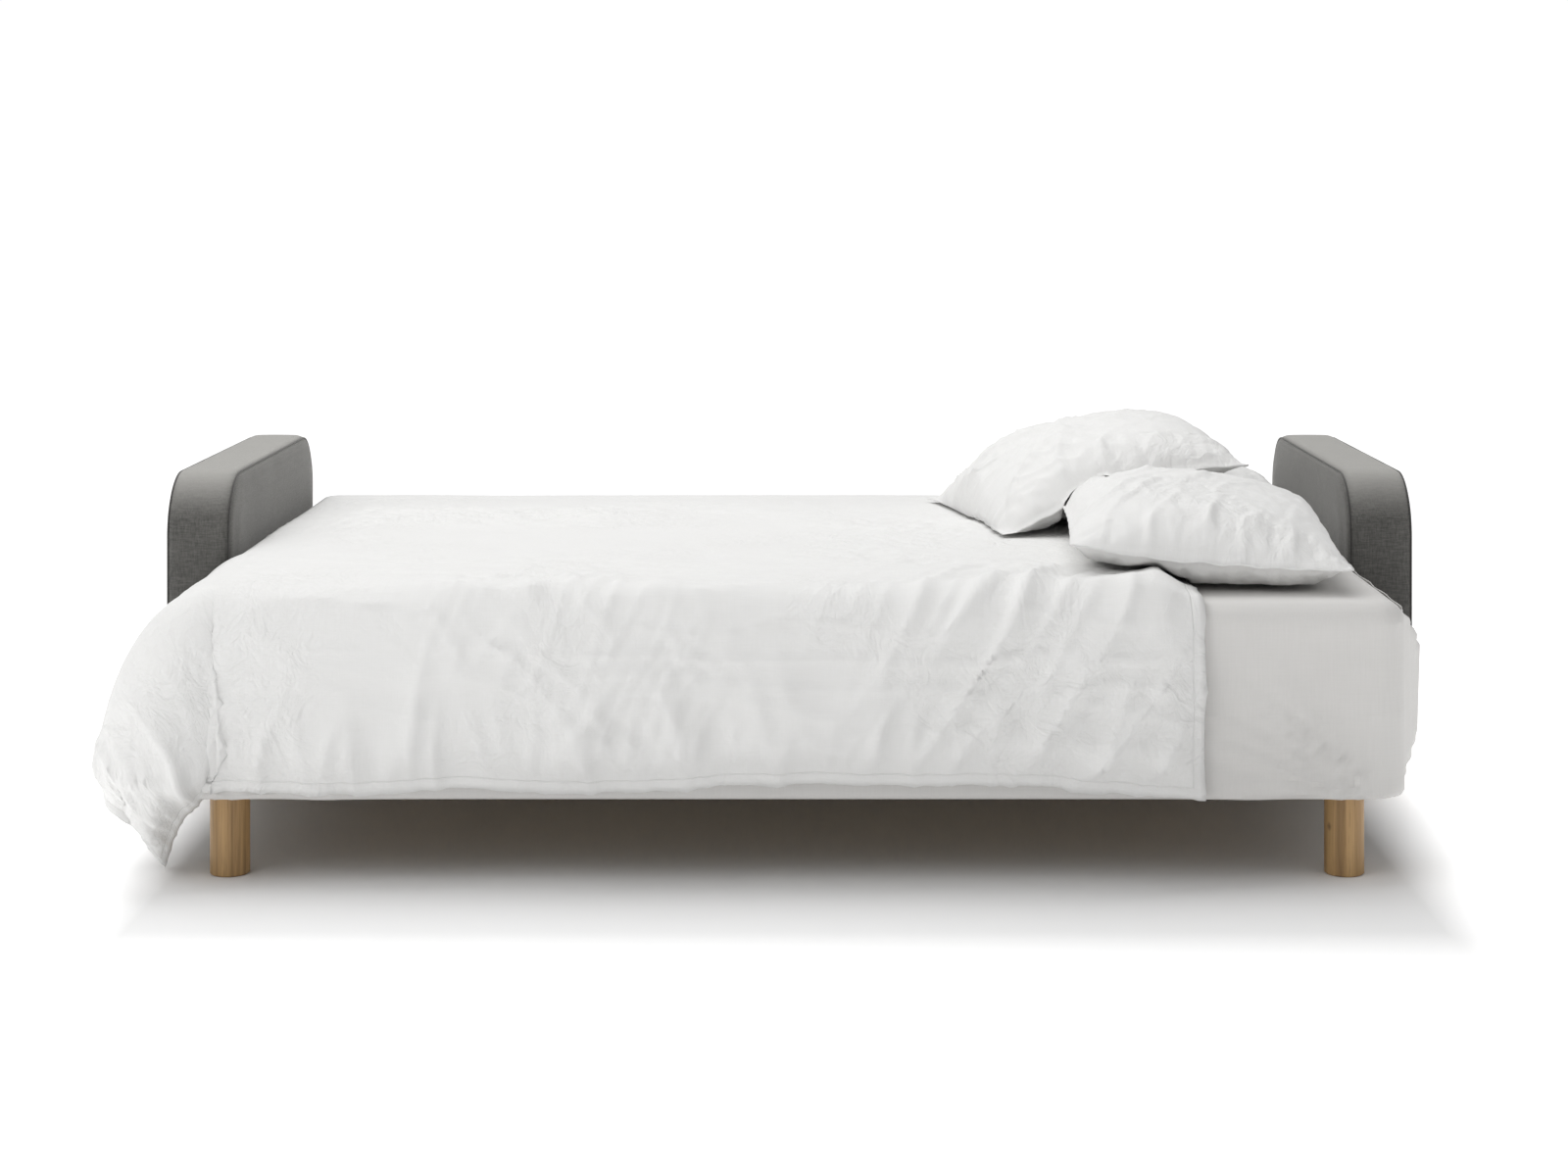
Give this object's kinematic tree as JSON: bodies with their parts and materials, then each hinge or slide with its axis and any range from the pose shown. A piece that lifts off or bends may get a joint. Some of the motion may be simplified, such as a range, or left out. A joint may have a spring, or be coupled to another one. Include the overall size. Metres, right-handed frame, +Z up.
{
  "type": "sofa bed",
  "caption": "Sofa bed opened flat, with padded arms, a sliding slatted seat, a back that folds down, fitted sheet, duvet and pillows.",
  "frame": {"origin": "on the floor under the middle of the whole object, bedding included", "axes": "+X towards the pillows, -Y towards the open front, +Z up"},
  "size_m": [2.276, 1.445, 0.6717],
  "materials": {
    "upholstery": "woven",
    "cushion_cover": "woven",
    "wadding": "felted",
    "frame_pine": "sawn",
    "slat_birch": "satin",
    "oak": "satin",
    "black_steel": "powder coated",
    "zinc_steel": "zinc plated",
    "black_nylon": "matte",
    "lining": "non-woven",
    "sheet_cotton": "percale",
    "white_linen": "washed linen"
  },
  "bodies": {
    "base": {"arm_bolts": "zinc_steel", "arm_bottom_rail_left": "frame_pine", "arm_bottom_rail_right": "frame_pine", "arm_cover_left": "upholstery", "arm_cover_right": "upholstery", "arm_filling_left": "wadding", "arm_filling_right": "wadding", "arm_ledge_left": "black_steel", "arm_ledge_right": "black_steel", "arm_posts_left": "frame_pine", "arm_posts_right": "frame_pine", "arm_top_rail_left": "frame_pine", "arm_top_rail_right": "frame_pine", "front_cross_tube": "black_steel", "front_foot_left": "black_nylon", "front_foot_right": "black_nylon", "rear_cross_tube": "black_steel", "rear_leg_left": "oak", "rear_leg_right": "oak", "slide_rail_left": "black_steel", "slide_rail_right": "black_steel"},
    "seat": {"front_leg_left": "oak", "front_leg_right": "oak", "glide_shoes": "black_nylon", "leg_block_left": "frame_pine", "leg_block_right": "frame_pine", "leg_plates": "zinc_steel", "leg_studs": "zinc_steel", "pivot_pin_left": "zinc_steel", "pivot_pin_right": "zinc_steel", "seat_border": "upholstery", "seat_cushion": "cushion_cover", "seat_front_board": "frame_pine", "seat_hinge_bolts": "zinc_steel", "seat_hinge_plate_left": "black_steel", "seat_hinge_plate_right": "black_steel", "seat_rear_board": "frame_pine", "seat_runner_left": "frame_pine", "seat_runner_right": "frame_pine", "seat_side_board_left": "frame_pine", "seat_side_board_right": "frame_pine", "seat_slats": "slat_birch", "sheet_arm_flap": "sheet_cotton", "sheet_on_seat": "sheet_cotton"},
    "back": {"back_cushion": "cushion_cover", "back_hinge_bolts": "zinc_steel", "back_hinge_plate_left": "black_steel", "back_hinge_plate_right": "black_steel", "back_lining": "lining", "back_lower_rail": "frame_pine", "back_side_rail_left": "frame_pine", "back_side_rail_right": "frame_pine", "back_slats": "slat_birch", "back_upper_rail": "frame_pine", "rest_lugs": "black_steel", "sheet_on_back": "sheet_cotton"},
    "duvet": {"duvet": "white_linen"},
    "pillow_front": {"pillow_front": "white_linen"},
    "pillow_back": {"pillow_back": "white_linen"},
    "pillow_top": {"pillow_top": "white_linen"}
  },
  "joints": [
    {"name": "seat_slide", "type": "slide", "parent": "base", "child": "seat", "axis": [0, 1, 0], "range_m": [0, 0.553], "deforming": ["sheet_arm_flap"]},
    {"name": "back_fold", "type": "hinge", "parent": "seat", "child": "back", "pos_m": [0, 0.2325, 0.4], "axis": [1, 0, 0], "range_deg": [0, 78]},
    {"name": "duvet_lift", "type": "slide", "parent": "base", "child": "duvet", "axis": [0, 0, 1], "range_m": [0, 1.11]},
    {"name": "front_pillow_lift", "type": "slide", "parent": "base", "child": "pillow_front", "axis": [0, 0, 1], "range_m": [0, 1.22]},
    {"name": "back_pillow_lift", "type": "slide", "parent": "base", "child": "pillow_back", "axis": [0, 0, 1], "range_m": [0, 1.22]},
    {"name": "top_pillow_lift", "type": "slide", "parent": "base", "child": "pillow_top", "axis": [0, 0, 1], "range_m": [0, 1.22]}
  ],
  "couplings": [
    {"joint": "back_fold", "follows": "seat_slide", "rad_per_m": 2.46},
    {"joint": "duvet_lift", "follows": "seat_slide", "ratio": 2},
    {"joint": "front_pillow_lift", "follows": "seat_slide", "ratio": 2.2},
    {"joint": "back_pillow_lift", "follows": "seat_slide", "ratio": 2.2},
    {"joint": "top_pillow_lift", "follows": "seat_slide", "ratio": 2.2}
  ]
}
